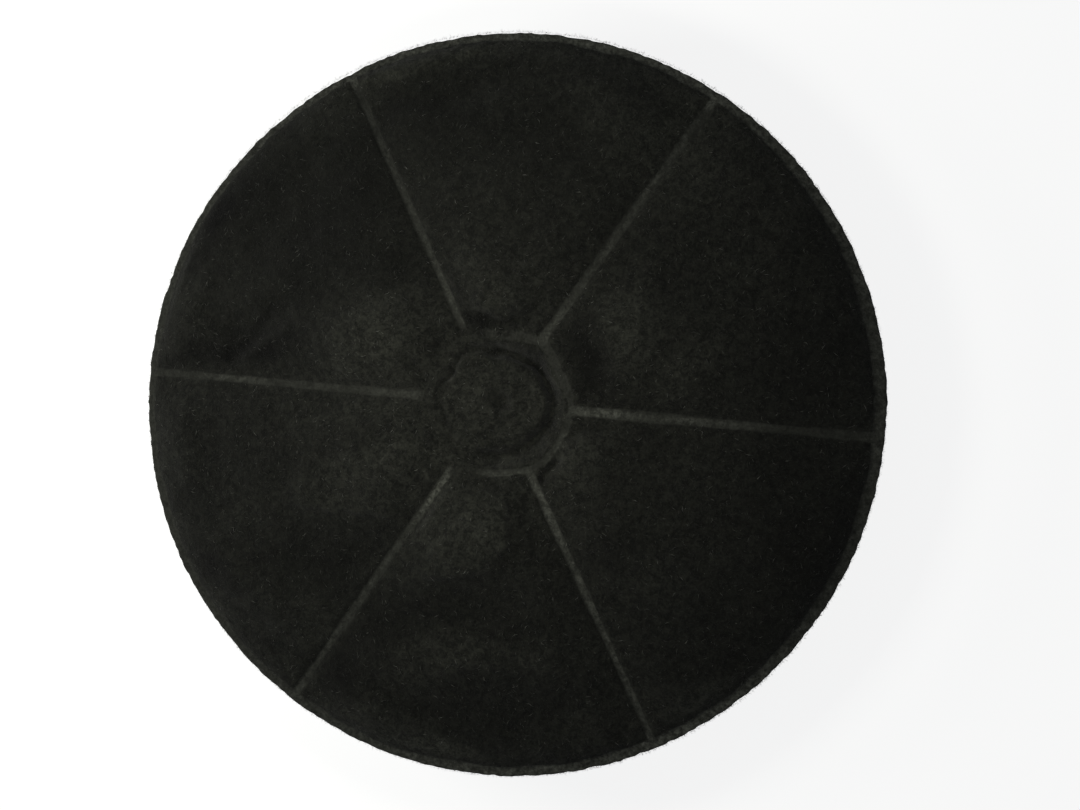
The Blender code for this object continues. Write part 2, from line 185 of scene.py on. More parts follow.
# Creases of the felt: the points along each, half width, height
CREASES = (
    (((9, 24), (11, 28), (15.5, 33)), 1, -0.5),
    (((11.5, -22), (13.5, -19.5), (15.5, -17)), 1.5, -1.5),
    (((21.5, -9.5), (23.5, -7.8), (28, -7)), 1.6, -1.1),
    (((-18.6, 4), (-16.5, 6.5), (-13.5, 9), (-11.5, 13)), 0.8, -0.9),
    (((-1, 15.6), (2.5, 15), (6, 14.2)), 0.8, -0.8),
    (((12.2, 8.5), (13.6, 5), (15.6, 0.5)), 0.9, -0.8),
    (((14.5, -5.5), (12, -8), (9, -11.5)), 1, -0.7),
    (((11.5, 15.8), (14, 13), (16.5, 10.5)), 0.7, 0.5),
    (((-30, 7.5), (-24, 11.5), (-18, 16.5)), 1.4, -0.45),
    (((-16, -5), (-14.5, -9), (-12, -12)), 0.9, -0.4),
    (((-79, 13), (-72, 19), (-66, 26)), 1.8, -0.4),
    (((-74, 13.5), (-68, 17), (-61, 22.5)), 1.6, 0.45),
    (((-21, 7), (-26, 13), (-22, 17.5), (-16, 16)), 1.6, -0.45),
    (((-27, -1.5), (-24.5, -4.5), (-23.8, -8)), 1, -0.4),
    (((-41, -3), (-37, -4.2), (-33, -2.6)), 1, -0.3),
    (((-31, -9.5), (-25, -9), (-21, -11)), 1, 0.3),
    (((-30, -21), (-24, -24.5), (-19, -23)), 1.5, -0.35),
    (((-13, -22), (-8, -23.5), (-2, -23)), 1, -0.5),
    (((-58, -62), (-47, -60.5), (-36, -62)), 2, 0.3),
)

# Folds, where the felt steps up to the left of a line: half width of the step, share of the line over
# which its ends fade, then the points, reach and height of each
FOLD_HALF = 0.8
FOLD_FADE = 0.15
FOLDS = (
    (((-62, -29), (-48, -31), (-36, -31.5), (-29, -34)), 12, 0.8),
    (((-27, -50.5), (-14, -49.5), (-2, -47), (3.2, -40), (2.8, -31), (2, -24)), 9, 1),
    (((-9, 28), (-3, 25), (2.2, 23.4), (5, 28), (7.5, 36)), 7, 1),
    (((-41, 92), (-30, 93), (-20, 94.5), (-11, 97.5), (0, 99)), 6, 0.7),
)

# Paler and darker stretches of the welds: painted highlights, and painted shade where the amount is below 0
WELD_PAINTED_LIGHT_AND_SHADE = (
    (28, -2.7, 8, 1.5, -5, 1.9), (50, -4.7, 18, 1.3, -5, 0.8), (64, -6.1, 14, 1.2, -5, 0.6),
    (88, -8.3, 14, 1.2, -5, 0.3), (17.5, 24.6, 8, 1.1, 55, 0.8), (35, 49, 20, 1, 55, 0.7),
    (51, 72, 18, 1.1, 55, 0.9), (-14.5, 31.5, 12, 0.9, 115, 0.7), (-28, 61, 22, 0.9, 115, 0.5),
    (-38, 82, 16, 0.9, 115, 0.3), (-28, 2.6, 9, 1, -5, 0.4), (-60, 5.7, 22, 1, -5, 0.2),
    (-80, 7.6, 9, 1.3, -5, 0.9), (-18.5, -25.5, 10, 1, 55, 2.4), (-36, -50, 18, 0.9, 55, 0.5),
    (-51, -71, 18, 1, 55, 1), (13.4, -29.7, 13, 1.1, -65, 1.7), (26.3, -57.2, 20, 1.1, -65, 1.4),
    (37.7, -81.2, 18, 1.1, -65, 1.3), (13, 19, 2.2, 1.6, 55, 0.9), (-2, -20.2, 4, 1, 0, 0.9),
    (4.5, -20, 3, 1, 5, 0.8), (16.8, -11.5, 6, 0.8, 57, 0.7), (-1, 19.6, 7, 1.8, 0, -0.5),
)

# How sharp the edges of an oval patch are, and of one of painted light and shade
PATCH_SHARPNESS = 1.3
PAINTED_PATCH_SHARPNESS = 2.0

# Patches of painted light and painted shade: paler and darker areas of the felt
PAINTED_LIGHT_AND_SHADE_PATCHES = (
    (-38, 20, 14, 12, 10, 0.08), (-59, 25, 12, 15, 10, -0.33), (-47, 48, 18, 12, 45, -0.38),
    (-84, 14, 18, 4.5, 4, -0.42), (-68.5, 18.5, 8.5, 1.8, 42, 0.1), (-85, 48, 12, 4.5, 60, -0.2),
    (-46, 84, 13, 6, 30, 0.45), (-94, -20, 22, 6, 100, -0.15), (-78, -43, 15, 9, -50, -0.27),
    (-74, -16.5, 18, 12, 0, -0.27), (-39.5, -9.5, 13, 5, 12, -0.42), (-46, -25, 10, 6, 5, 0.15),
    (-60, -44, 20, 6, -5, -0.12), (-75, -36, 6, 5, 20, 0.2), (-3, -34, 6, 10, 5, 0.25),
    (-18, -70, 17, 5.5, 8, 0.45), (8, -71, 14, 4.5, -3, 0.4), (-28, -93, 20, 6, -18, 0.55),
    (30, -87, 20, 7, 16, 0.45), (29.5, 10, 11, 7.5, 103, -0.44), (21, 18.5, 9, 4, 50, -0.45),
    (39, 20.5, 11, 7.5, 75, 0.4), (53, 15, 13, 8, 60, 0.36), (36, -27, 15, 11, -35, -0.17),
    (82, -36, 14, 30, 16, -0.38), (67, -64.5, 9, 5, 50, -0.25), (82, 11, 14, 14, 0, -0.28),
    (40, 71.5, 24, 12, -40, 0.72), (66, 64, 22, 11, -45, 0.55), (4, 90.5, 31, 8, -2, 0.5),
    (-7.3, 27.8, 10, 4, 117, -0.5), (-3, 22.5, 8.5, 2.8, 4, -0.35), (-9, 37.5, 8, 6, 0, -0.15),
    (-14, 40, 10, 2.5, 112, -0.12), (-21, 96.5, 21, 3, 14, 0.95), (10, 100, 20, 2.4, -6, 0.5),
    (-14, 86, 22, 6, 8, -0.12), (-40, -72, 14, 7, 60, -0.3), (-26, -51, 9, 2.5, 5, 0.15),
    (11, 9.5, 8, 3.8, -50, -0.34), (4, 13, 9, 3, -12, -0.25), (-1, -12.5, 8, 2.6, -8, -0.25),
    (-7, -21.5, 7, 2.6, -10, -0.25), (-12.5, 1, 3.5, 5, 0, 0.3), (-1.5, 0, 11.5, 10.5, 0, 0.27),
    (-0.5, 0.5, 6.5, 5, 90, -0.5), (-4, 0.4, 1.6, 2.6, 10, -0.15), (26.5, -16.5, 7, 4.5, 75, 0.4),
    (46, 11, 7, 3, 62, -0.38), (46, 33, 7, 3, 60, -0.12), (31, 27, 3, 5, 0, 0.15),
    (-18, -97, 14, 3, -8, 1.6), (-53, -64, 9, 6.5, 75, 1.1), (-48, -78, 7, 3.5, 36, -0.45),
    (55, -80.5, 9, 4, 25, 1.2), (-77.5, 58.5, 11, 5.5, 44, -0.55), (-81, -48.5, 8, 5, -50, -0.6),
    (30, -70, 12, 4, 112, 0.35), (46, 80, 9, 7, 65, 0.55), (40, 90, 8, 4, -34, 0.35),
    (-43, 84, 8, 3.5, 130, 0.35), (-33.5, 35.5, 12, 6.5, 30, -0.42), (-3, 99.5, 9, 2, 0, 0.6),
    (33, -41, 9, 6, 35, -0.4), (-22, -76.5, 10, 3, 6, 0.35), (-16.5, -12.5, 7, 3.5, 112, 0.35),
    (-18, -21, 7, 2.6, 45, 0.3), (-66, 16.5, 9, 5.5, 30, -0.42), (10.3, -30, 5.5, 2, -70, 0.3),
    (-27.5, -62, 9, 6, 55, -0.22), (-8.5, -26.5, 6, 4, 15, -0.22), (-15, 50, 9, 6, -20, -0.2),
    (-61, -75.5, 9, 4, -30, 0.35), (66, 38, 8, 9, 0, 0.2), (47, -51, 9, 8, 0, 0.15),
    (5, -62, 9, 3.5, 0, -0.26), (39, -13, 8, 5, 0, -0.25), (-28, 13.5, 4.5, 3.5, 20, 0.3),
    (-88.5, -33.5, 10, 5, 80, -0.24), (14.5, -11.5, 7, 2.3, 48, -0.3),
    (12.8, 10.8, 3.8, 2.2, -50, -0.35), (-1, 15.8, 4.5, 1.5, 0, -0.3),
)

# Painted light and shade beside the rim: the gain at every 30 degrees from the right
RIM_PAINTED_LIGHT_AND_SHADE = (0.07, 0.25, 0.75, 0.9, 0.2, -0.33, -0.12, -0.1, 0.3, 0.4, 0.35, 0)

# Painted light and shade: how much the tone follows the lumps, creases and folds, within limits, and
# nearness to the hub
LUMP_PAINTED_LIGHT = 0.2
LUMP_PAINTED_LIGHT_LIMITS = (-1.8, 2)
CREASE_PAINTED_SHADE = 0.3
CREASE_PAINTED_SHADE_LIMITS = (-1, 0.5)
FOLD_PAINTED_LIGHT = 0.18
HUB_PAINTED_LIGHT = 0.2
HUB_PAINTED_LIGHT_REACH = 34.0

# Strength of the small spots in the tone: everywhere, on the disc, and along the left of the rim
SPOT_TONE = 0.05
DISC_SPOT_TONE = 0.09
BORDER_SPOT_TONE = 0.2

# Bands by radius, or by X for the last, over which a tone or a painted light or shade sets in: start and
# width
DISC_BAND = (12, 6)
BORDER_BAND = (84, 8)
RIM_PAINTED_LIGHT_AND_SHADE_BAND = (94, 5)
RIM_WELD_PAINTED_LIGHT_BAND = (98, 3)
EDGE_PAINTED_HIGHLIGHT_BAND = (101.8, 1.5)
BORDER_SIDE_BAND = (-30, 60)

# The two directions in which fine wrinkles are measured, their size and their seed
WRINKLE_ALONG = (0.28, 0.03)
WRINKLE_ACROSS = (-0.08, 1)
WRINKLE_SIZE = 3.4
WRINKLE_SEED = 9

# Areas with fine wrinkles
WRINKLED_AREAS = (
    (-8, -62, 34, 20, 5, 0.3),
    (-68, -52, 26, 16, -15, 0.2),
    (20, 84, 34, 14, -10, 0.15),
)

# Areas where the felt is smoother, and the most it can be
SMOOTH_AREAS = (
    (-58, 60, 48, 30, 45, 0.5),
    (5, 72, 34, 28, 0, 0.3),
    (-50, -55, 30, 20, -40, 0.25),
)
MOST_SMOOTH = 0.6

# How wide a border follows the cut edge, and how far the edge stands out, at every 30 degrees
EDGE_BAND = 4.0
EDGE_OFFSETS = (0.25, -0.05, -0.45, -0.4, -0.65, -0.15, -0.05, 0.3, 0.05, 0.05, -0.25, -0.15)

# Painted light: how much paler the felt is at its cut edge and, at every 30 degrees, on the rim weld
EDGE_PAINTED_HIGHLIGHT = 0.35
RIM_WELD_PAINTED_LIGHT = (1, 1.3, 2, 2.4, 1.7, 0.3, 0, 0.15, 0.8, 1.8, 2.1, 0.7)

# Rows of the cover's mesh, from the middle: outer end of each stretch, row spacing and point spacing.
# Each row crosses the ribs in finer steps.
TOP_STRETCHES = (
    (HUB_WELD_INNER, 0.5, 0.5),
    (HUB_WELD_RADIUS, 0.37, 0.5),
    (24.5, 0.42, 0.55),
    (99, 0.77, 0.77),
    (104.6, 0.42, 0.7),
)
EDGE_ROWS = ((104.85, 0.1), (105, 0.3), (105.05, 0.5), (105, 0.75), (104.85, 0.95))
EDGE_SPACING = 0.7
EDGE_ROWS_START = 104.0
UNDERSIDE_ROWS = (
    104.5, 101.5, 98, 93, 87, 80, 72, 64, 56, 48, 40,
    33, 27, 23.5, 20.9, 18.3, 16.8, 15.4, 12.2, 8, 4,
)
UNDERSIDE_SPACING = 3.0
RIB_FINE_HALF = 2.4
RIB_FINE_STEPS = 15
RIB_FINE_SPACING = 2.2

# Loose fibres over the cover. A range is its least and most, and a third number crowds it to the least.
NAP_PIECES = 2
NAP_FIBRES = 32000
NAP_SPREAD = 0.998
NAP_EDGE_GAP = 0.2
NAP_LENGTHS = (0.5, 2.4, 1.6)
NAP_THICKNESS = (0.04, 0.1)
NAP_BENDS = (-0.65, 0.65)
NAP_ROOT = 0.02
NAP_ARCH = 0.03
NAP_LIFTS = (0, 0.16, 1.5)
NAP_END_LIFT = 1.6
NAP_TUCKED = 0.4
WELD_BARENESS = 0.85

# Fibres that stand out of the cut edge
EDGE_FIBRES = 5200
EDGE_ROOT = 0.15
EDGE_LENGTHS = (0.3, 1.2, 2)
EDGE_THICKNESS = (0.04, 0.08)
EDGE_TURNS = (-1.2, 1.2)
EDGE_LEVELS = (0.1, 0.95)
EDGE_TILTS = (-0.175, 0.325)
EDGE_BOWS = (-0.125, 0.125)

# Lightness of the fibres: of most of them, and of the few much paler ones that are painted glints
FIBRE_SHADES = (0.008, 0.053, 2.5)
PAINTED_GLINT_SHADES = (0.05, 0.29, 2)
PAINTED_GLINT_SHARE = 0.09
FIBRE_POINTS = 5

# The liners and the grille that they lie on
LINER_INNER = 20.9
LINER_OUTER = 101.0
LINER_SIDE = 1.3
LINER_THICKNESS = 1.5
LINER_ROWS = 84
LINER_COLUMNS = 56
GRILLE_TOP = 2.0
GRILLE_SEAT = 0.04
SLOT_START = 22.0
SLOT_PITCH = 10.87
SLOT_WIDTH = 8.87
SLOT_ROWS = 7
INNER_SLOT_ROWS = 3
INNER_SLOTS = 2
OUTER_SLOTS = 4
SLOT_BAR = 1.3
SLOT_SAG = 0.55
SAG_FULLNESS = 0.6
SAG_ENDS = 6

# Corners of the tray steeper than this stay sharp, and points nearer than this many metres are one
CORNER_ANGLE = math.radians(30)
JOIN_DISTANCE = 0.000005

# Dark and pale colours of each finish
FELT_COLOURS = ((0.0058, 0.0061, 0.0050), (0.0200, 0.0206, 0.0168))
PRESSED_COLOURS = ((0.025, 0.0256, 0.0218), (0.037, 0.0383, 0.0332))
LINER_COLOURS = ((0.008, 0.008, 0.0078), (0.019, 0.019, 0.018))
FIBRE_TINTS = ((0.95, 0.97, 0.86), (1.0, 1.0, 0.96))
PLASTIC_COLOURS = ((0.0105, 0.0105, 0.011), (0.019, 0.019, 0.0185))
# For the carbon, the dark colour is painted shade between grains and the pale one a painted highlight in
# their middles.
CARBON_COLOURS = ((0.004, 0.004, 0.004), (0.022, 0.022, 0.021))

FELT_FINISH = {"Specular IOR Level": 0.04, "Sheen Weight": 0.08, "Sheen Roughness": 0.6, "Roughness": 0.9}
FIBRE_FINISH = {"Roughness": 0.6, "Specular IOR Level": 0.15}
PLASTIC_FINISH = {"IOR": 1.49, "Specular IOR Level": 0.38}
CARBON_FINISH = {"Roughness": 0.6}

# Ranges of noise that the finishes use, the middle of the felt's speckle, and shares of second grains
FULL = (0.0, 1.0)
GRAIN_SPAN = (0.78, 1.05)
CALM_SPECKLE = 0.45
MATTED_SHARE = 0.8
PLASTIC_GRAIN = 0.12

# The white ground, and the light: its fill, then each lamp's name, place, size, power and colour
FLOOR_SIZE = 6.0
FLOOR_DROP = 0.0002
FLOOR_COLOUR = (0.62, 0.62, 0.62)
FLOOR_WHITE = 0.84
WHITE = (1.0, 1.0, 1.0)
FILL_STRENGTH = 0.1
FILL_COLOUR = (0.9, 0.95, 1.0)
LAMPS = (
    ("key_lamp", (-0.25, 0.03, 0.12), 0.1, 0.275, (1.0, 1.0, 0.9)),
    ("top_lamp", (-0.015, 0.01, 0.115), 0.04, 0.053, (1.0, 1.0, 0.9)),
)

# The camera: lens and sensor in millimetres, its place in shares of the cover's radius, and its tilt
CAMERA_LENS = 26.67
CAMERA_SENSOR = 36.0
CAMERA_NEAR = 0.01
CAMERA_PLACE = (0.335, -0.014, 2.126)
CAMERA_TILT = (0.23, 6.04, 0.0)

# Whole numbers that scatter the noise
HASH_X, HASH_Y, HASH_SEED, HASH_MIX = 374761393, 668265263, 974634777, 1274126177
LOW_32_BITS, LOW_16_BITS = 0xFFFFFFFF, 0xFFFF


def hashed(ix, iy, seed):
    """A repeatable value from -1 to 1 for each whole-numbered cell."""
    n = (ix * HASH_X + iy * HASH_Y + seed * HASH_SEED) & LOW_32_BITS
    n = ((n ^ (n >> 13)) * HASH_MIX) & LOW_32_BITS
    return ((n ^ (n >> 16)) & LOW_16_BITS) / (LOW_16_BITS / 2) - 1.0


def cells(x, y, size):
    """Places in units of this size, and their whole-numbered cells."""
    u, v = x / size, y / size
    return u, v, np.floor(u).astype(np.int64), np.floor(v).astype(np.int64)


def soft_noise(x, y, size, seed):
    """Smooth noise from -1 to 1 whose swells are about this size."""
    u, v, iu, iv = cells(x, y, size)
    fu, fv = u - iu, v - iv
    fu = fu**3 * (fu * (fu * 6 - 15) + 10)
    fv = fv**3 * (fv * (fv * 6 - 15) + 10)
    low = hashed(iu, iv, seed) * (1 - fu) + hashed(iu + 1, iv, seed) * fu
    high = hashed(iu, iv + 1, seed) * (1 - fu) + hashed(iu + 1, iv + 1, seed) * fu
    return low * (1 - fv) + high * fv


def layered(x, y, layers):
    """Sum of smooth noises, each with its strength, size and seed."""
    return sum(strength * soft_noise(x, y, size, seed) for strength, size, seed in layers)


def wandered(x, y, reach, size, seed):
    """The places, each moved a little by smooth noise."""
    return x + reach * soft_noise(x, y, size, seed), y + reach * soft_noise(x, y, size, seed + 1)


def granules(x, y, height, size, seed):
    """Rounded bumps, as of granules that press through the felt."""
    u, v, iu, iv = cells(x, y, size)
    best = np.zeros_like(u)
    for du in (-1, 0, 1):
        for dv in (-1, 0, 1):
            cu = iu + du + 0.5 + GRANULE_SCATTER * hashed(iu + du, iv + dv, seed)
            cv = iv + dv + 0.5 + GRANULE_SCATTER * hashed(iu + du, iv + dv, seed + 1)
            tall = GRANULE_LIKENESS + (1 - GRANULE_LIKENESS) * hashed(iu + du, iv + dv, seed + 2)
            near = np.clip(1 - ((u - cu) ** 2 + (v - cv) ** 2) / GRANULE_REACH, 0, 1)
            best = np.maximum(best, tall * near)
    return height * best


def eased(share):
    """Rises gently from 0 to 1 as the share does."""
    share = np.clip(share, 0, 1)
    return share * share * (3 - 2 * share)


def grown(value, start, width):
    """Rises gently from 0 to 1 over a band."""
    return eased((value - start) / width)


def levelling(distance, reach):
    """Rises from 0 at a weld to 1 at this reach, where it is level."""
    share = np.clip(distance / reach, 0, 1)
    return share * (2 - share)


def shoulder(distance, reach):
    """Rises from 0 at a rib to 1 at this reach, gently at both ends."""
    return (levelling(distance, reach) + eased(distance / reach)) / 2


def rolled(distance, reach):
    """Rises from 0 at a weld to 1 at this reach along a quarter round."""
    return np.sqrt(levelling(distance, reach))


def toward(x, y, angle):
    """How far a place lies towards this angle, from -1 to 1."""
    return (x * math.cos(angle) + y * math.sin(angle)) / np.maximum(np.hypot(x, y), 1.0)


def round_rim(x, y, values):
    """The value at each place, from values at even angles round the rim."""
    angle = np.degrees(np.arctan2(y, x))
    return np.interp(angle, np.arange(len(values)) * 360 / len(values), values, period=360)


def bridged(x, y):
    """1 where the felt bridges the hub ring, on its left, and 0 where it is welded."""
    return grown(toward(x, y, math.pi), *BRIDGE_BAND)


def bridged_rib(x, y, hub):
    """1 where the felt bridges the left rib, and 0 where it is welded."""
    return bridged(x, y) * (1 - eased(hub / BRIDGE_REACH))


def hub_weld_middle(x, y):
    """Radius of the middle of the weld on the hub ring."""
    angle = np.degrees(np.arctan2(y, x))
    middle = np.interp(angle, HUB_WELD_ANGLES, HUB_WELD_MIDDLES, period=360)
    return middle + layered(x, y, HUB_MIDDLE_WOBBLE)


def hub_weld_half(x, y):
    """Half width of the weld on the hub ring, widest at its upper right."""
    widening = HUB_WELD_WIDENING * np.clip(toward(x, y, WIDEST_ANGLE), 0, 1)
    return HUB_WELD_HALF + widening + layered(x, y, HUB_HALF_WOBBLE)


def weld_distances(x, y):
    """Distances to the edges of the rim weld, the hub weld and the nearest rib weld."""
    radius = np.hypot(x, y)
    wobble = layered(x, y, WELD_WOBBLE)
    rim = RIM_WELD_RADIUS - RIM_WELD_SHIFT * toward(x, y, 0.0) - radius + RIM_WAVER * wobble
    hub = radius - hub_weld_middle(x, y) - hub_weld_half(x, y)
    rib = np.full_like(radius, COVER_RADIUS)
    ends = (HUB_WELD_RADIUS, RIM_WELD_RADIUS)
    for index, (widths, drifts) in enumerate(zip(RIB_WELD_WIDTHS, RIB_WELD_DRIFTS)):
        turn = FIRST_RIB_ANGLE + index * BAY_ANGLE
        along = x * math.cos(turn) + y * math.sin(turn)
        drift = np.interp(along, ends, drifts)
        width = np.interp(along, ends, widths)
        across = np.abs(y * math.cos(turn) - x * math.sin(turn) - drift) - width / 2
        rib = np.where(along > 0, np.minimum(rib, across), rib)
    return rim, hub, rib + wobble


def patches(x, y, places, sharpness=PATCH_SHARPNESS):
    """Sum of oval patches."""
    z = np.zeros_like(x)
    for middle_x, middle_y, long, short, turn, height in places:
        turn = math.radians(turn)
        across_x, across_y = x - middle_x, y - middle_y
        u = (across_x * math.cos(turn) + across_y * math.sin(turn)) / long
        v = (across_y * math.cos(turn) - across_x * math.sin(turn)) / short
        z += height * np.exp(-((u * u + v * v) ** sharpness))
    return z


def line_offset(x, y, points):
    """Distance from a wavering line, its side (1 left, -1 right), and the share of the way along."""
    x, y = wandered(x, y, *LINE_WANDER)
    best, side, along = np.full_like(x, COVER_RADIUS), np.ones_like(x), np.zeros_like(x)
    for index, ((ax, ay), (bx, by)) in enumerate(zip(points, points[1:])):
        dx, dy = bx - ax, by - ay
        share = np.clip(((x - ax) * dx + (y - ay) * dy) / (dx * dx + dy * dy), 0, 1)
        distance = np.hypot(x - ax - share * dx, y - ay - share * dy)
        nearer = distance < best
        side = np.where(nearer, np.sign(dx * (y - ay) - dy * (x - ax)), side)
        along = np.where(nearer, (index + share) / (len(points) - 1), along)
        best = np.minimum(best, distance)
    return best, side, along


def crease_height(x, y):
    """Narrow rounded grooves and ridges along the creases."""
    z = np.zeros_like(x)
    for points, width, height in CREASES:
        z += height * np.exp(-((line_offset(x, y, points)[0] / width) ** 2))
    return z


def fold_height(x, y):
    """Steps of the felt along its folds, which fade at their ends."""
    z = np.zeros_like(x)
    for points, reach, height in FOLDS:
        distance, side, along = line_offset(x, y, points)
        offset = distance * side
        step = grown(offset, -FOLD_HALF, 2 * FOLD_HALF) * np.exp(-((np.maximum(offset, 0) / reach) ** 2))
        z += height * step * eased(along / FOLD_FADE) * eased((1 - along) / FOLD_FADE)
    return z


def puckers(x, y):
    """Small wrinkles, from -1 to 1, that run outwards from the hub ring."""
    radius = np.hypot(x, y)
    angle = np.arctan2(y, x)
    fade = grown(radius, *PUCKER_GROWS) * (1 - grown(radius, *PUCKER_FADES))
    fade = fade * eased((math.pi - np.abs(angle)) / PUCKER_SEAM)
    bent = PUCKER_TURNS * angle + layered(x, y, PUCKER_BENDS)
    return fade * soft_noise(bent, radius / PUCKER_LENGTH, PUCKER_SIZE, PUCKER_SEED)


def wrinkles(x, y):
    """Fine wrinkles, much longer than they are wide."""
    along = WRINKLE_ALONG[0] * x + WRINKLE_ALONG[1] * y
    across = WRINKLE_ACROSS[0] * x + WRINKLE_ACROSS[1] * y
    return patches(x, y, WRINKLED_AREAS) * soft_noise(along, across, WRINKLE_SIZE, WRINKLE_SEED)


def smooth_at(x, y):
    """How smooth the felt is, from 0 where it is rough."""
    return np.clip(patches(x, y, SMOOTH_AREAS), 0, MOST_SMOOTH)


def bay_height(x, y, rim, hub, rib):
    """Height of the felt over its welds, in the six bays."""
    nearest = np.minimum(np.minimum(rim, hub), rib)
    over_ring = np.maximum(rolled(hub, HUB_ROLL), bridged(x, y))
    over_rib = np.maximum(rolled(rib, RIB_ROLL), bridged_rib(x, y, hub))
    edge = rolled(rim, RIM_ROLL) * over_ring * over_rib
    pillow = levelling(rim, RIM_SHOULDER) * levelling(hub, HUB_SHOULDER) * shoulder(rib, RIB_SHOULDER)
    z = EDGE_RISE * edge + PILLOW_RISE * pillow
    z += eased(nearest / LUMP_REACH) * patches(x, y, LUMPS)
    z += eased(nearest / CREASE_REACH) * (crease_height(x, y) + fold_height(x, y))
    z += eased(nearest / SWELL_REACH) * layered(x, y, SWELLS)
    z += eased(nearest / RIPPLE_REACH) * (layered(x, y, RIPPLES) + PUCKER_HEIGHT * puckers(x, y))
    z += eased(nearest / RIPPLE_REACH) * wrinkles(x, y)
    rough = granules(x, y, *BAY_GRANULES) + layered(x, y, FINE_GRAIN)
    z += eased(nearest / GRAIN_REACH) * (1 - smooth_at(x, y)) * rough
    return z


def hub_height(x, y):
    """Height of the felt over its welds, inside the hub ring."""
    radius = np.hypot(x, y)
    bridge = bridged(x, y)
    channel = CHANNEL_RADIUS + CHANNEL_SHIFT * bridge + layered(x, y, CHANNEL_WOBBLE)
    depth = CHANNEL_DEPTH * (1 - CHANNEL_BRIDGED * bridge) * (1 + layered(x, y, CHANNEL_DEPTHS))
    disc = DISC_DROP * (1 - DISC_BRIDGED * bridge)
    crest = hub_weld_middle(x, y) - hub_weld_half(x, y)
    climb = eased((radius - channel) / (crest - channel))
    inner_wall = -depth + (depth - disc) * eased((channel - radius) / CHANNEL_INNER_HALF)
    walls = np.where(radius > channel, -depth * (1 - climb), inner_wall)
    from_dimple = np.hypot(x - DIMPLE_PLACE[0], y - DIMPLE_PLACE[1])
    dimple = -DIMPLE_DEPTH * (1 - grown(from_dimple, DIMPLE_FLAT, DIMPLE_SLOPE))
    in_channel = np.clip(1 - np.abs(radius - channel) / CHANNEL_RUFFLE_REACH, 0, 1)
    rough = (DISC_RUFFLE + CHANNEL_RUFFLE * in_channel) * layered(x, y, RUFFLES)
    rough += granules(x, y, *HUB_GRANULES) + crease_height(x, y)
    return walls + dimple + EDGE_RISE * bridge * climb + rough * eased(crest - radius)


def cover_form(x, y):
    """Height of the cover's top, its thickness, and how far a weld presses it smooth, from 0 to 1."""
    radius = np.hypot(x, y)
    rim, hub, rib = weld_distances(x, y)
    nearest = np.minimum(np.minimum(rim, hub), rib)
    middle = hub_weld_middle(x, y)
    off_weld = np.where(radius < middle, middle - hub_weld_half(x, y) - radius, nearest)
    on_ring = np.abs(radius - middle) < HUB_WELD_HALF + HUB_WELD_WIDENING + RING_MARGIN
    weld = (1 - grown(off_weld, *PRESSED_BAND)) * (1 - on_ring * bridged(x, y))
    weld = weld * (1 - (radius > middle) * bridged_rib(x, y, hub))
    z = np.where(radius > middle, bay_height(x, y, rim, hub, rib), hub_height(x, y))
    z += weld * layered(x, y, WELD_GRAIN)
    thickness = WELD_THICKNESS + (FELT_THICKNESS - WELD_THICKNESS) * eased(off_weld / THICKENING_REACH)
    return WELD_LEVEL + z, thickness, weld


def bed_top(x, y):
    """Level that the cover's underside keeps to, over the granule beds."""
    rim, hub, rib = weld_distances(x, y)
    share = levelling(rim, BED_SHOULDER) * levelling(hub, BED_SHOULDER) * levelling(rib, BED_SHOULDER)
    return WELD_LEVEL + BED_RISE * share - BED_DEPTH


def tone_and_painted_light_at(x, y):
    """How much paler or darker the felt is than its plain black: a random tone, with painted light and
    painted shade added.
    """
    radius = np.hypot(x, y)
    # Painted light on lumps, ridges and folds, and painted shade in hollows and creases.
    tone_and_painted_light = LUMP_PAINTED_LIGHT * np.clip(patches(x, y, LUMPS), *LUMP_PAINTED_LIGHT_LIMITS)
    tone_and_painted_light += CREASE_PAINTED_SHADE * np.clip(crease_height(x, y), *CREASE_PAINTED_SHADE_LIMITS)
    tone_and_painted_light += FOLD_PAINTED_LIGHT * fold_height(x, y)
    # A painted pool of light round the hub, and random swells of tone.
    tone_and_painted_light += HUB_PAINTED_LIGHT * np.exp(-((radius / HUB_PAINTED_LIGHT_REACH) ** 2)) + layered(x, y, TONE_SWELLS)
    on_disc = 1 - grown(radius, *DISC_BAND)
    tone_and_painted_light += (SPOT_TONE + DISC_SPOT_TONE * on_disc) * layered(x, y, TONE_SPOTS)
    at_border = grown(radius, *BORDER_BAND) * (1 - grown(x, *BORDER_SIDE_BAND))
    tone_and_painted_light += BORDER_SPOT_TONE * at_border * layered(x, y, BORDER_SPOTS)
    # Painted light and shade beside the rim.
    tone_and_painted_light += grown(radius, *RIM_PAINTED_LIGHT_AND_SHADE_BAND) * round_rim(x, y, RIM_PAINTED_LIGHT_AND_SHADE)
    # Patches of painted light and painted shade.
    return tone_and_painted_light + patches(*wandered(x, y, *PAINTED_PATCH_WANDER), PAINTED_LIGHT_AND_SHADE_PATCHES, PAINTED_PATCH_SHARPNESS)


def weld_painted_light_at(x, y):
    """How much paler or darker the welds are than their plain grey: painted highlights and painted shade.
    """
    radius = np.hypot(x, y)
    # Painted light on the rim weld, and a painted highlight at the cut edge.
    rim_weld_painted_light = grown(radius, *RIM_WELD_PAINTED_LIGHT_BAND) * round_rim(x, y, RIM_WELD_PAINTED_LIGHT)
    return patches(x, y, WELD_PAINTED_LIGHT_AND_SHADE) + rim_weld_painted_light + EDGE_PAINTED_HIGHLIGHT * grown(radius, *EDGE_PAINTED_HIGHLIGHT_BAND)


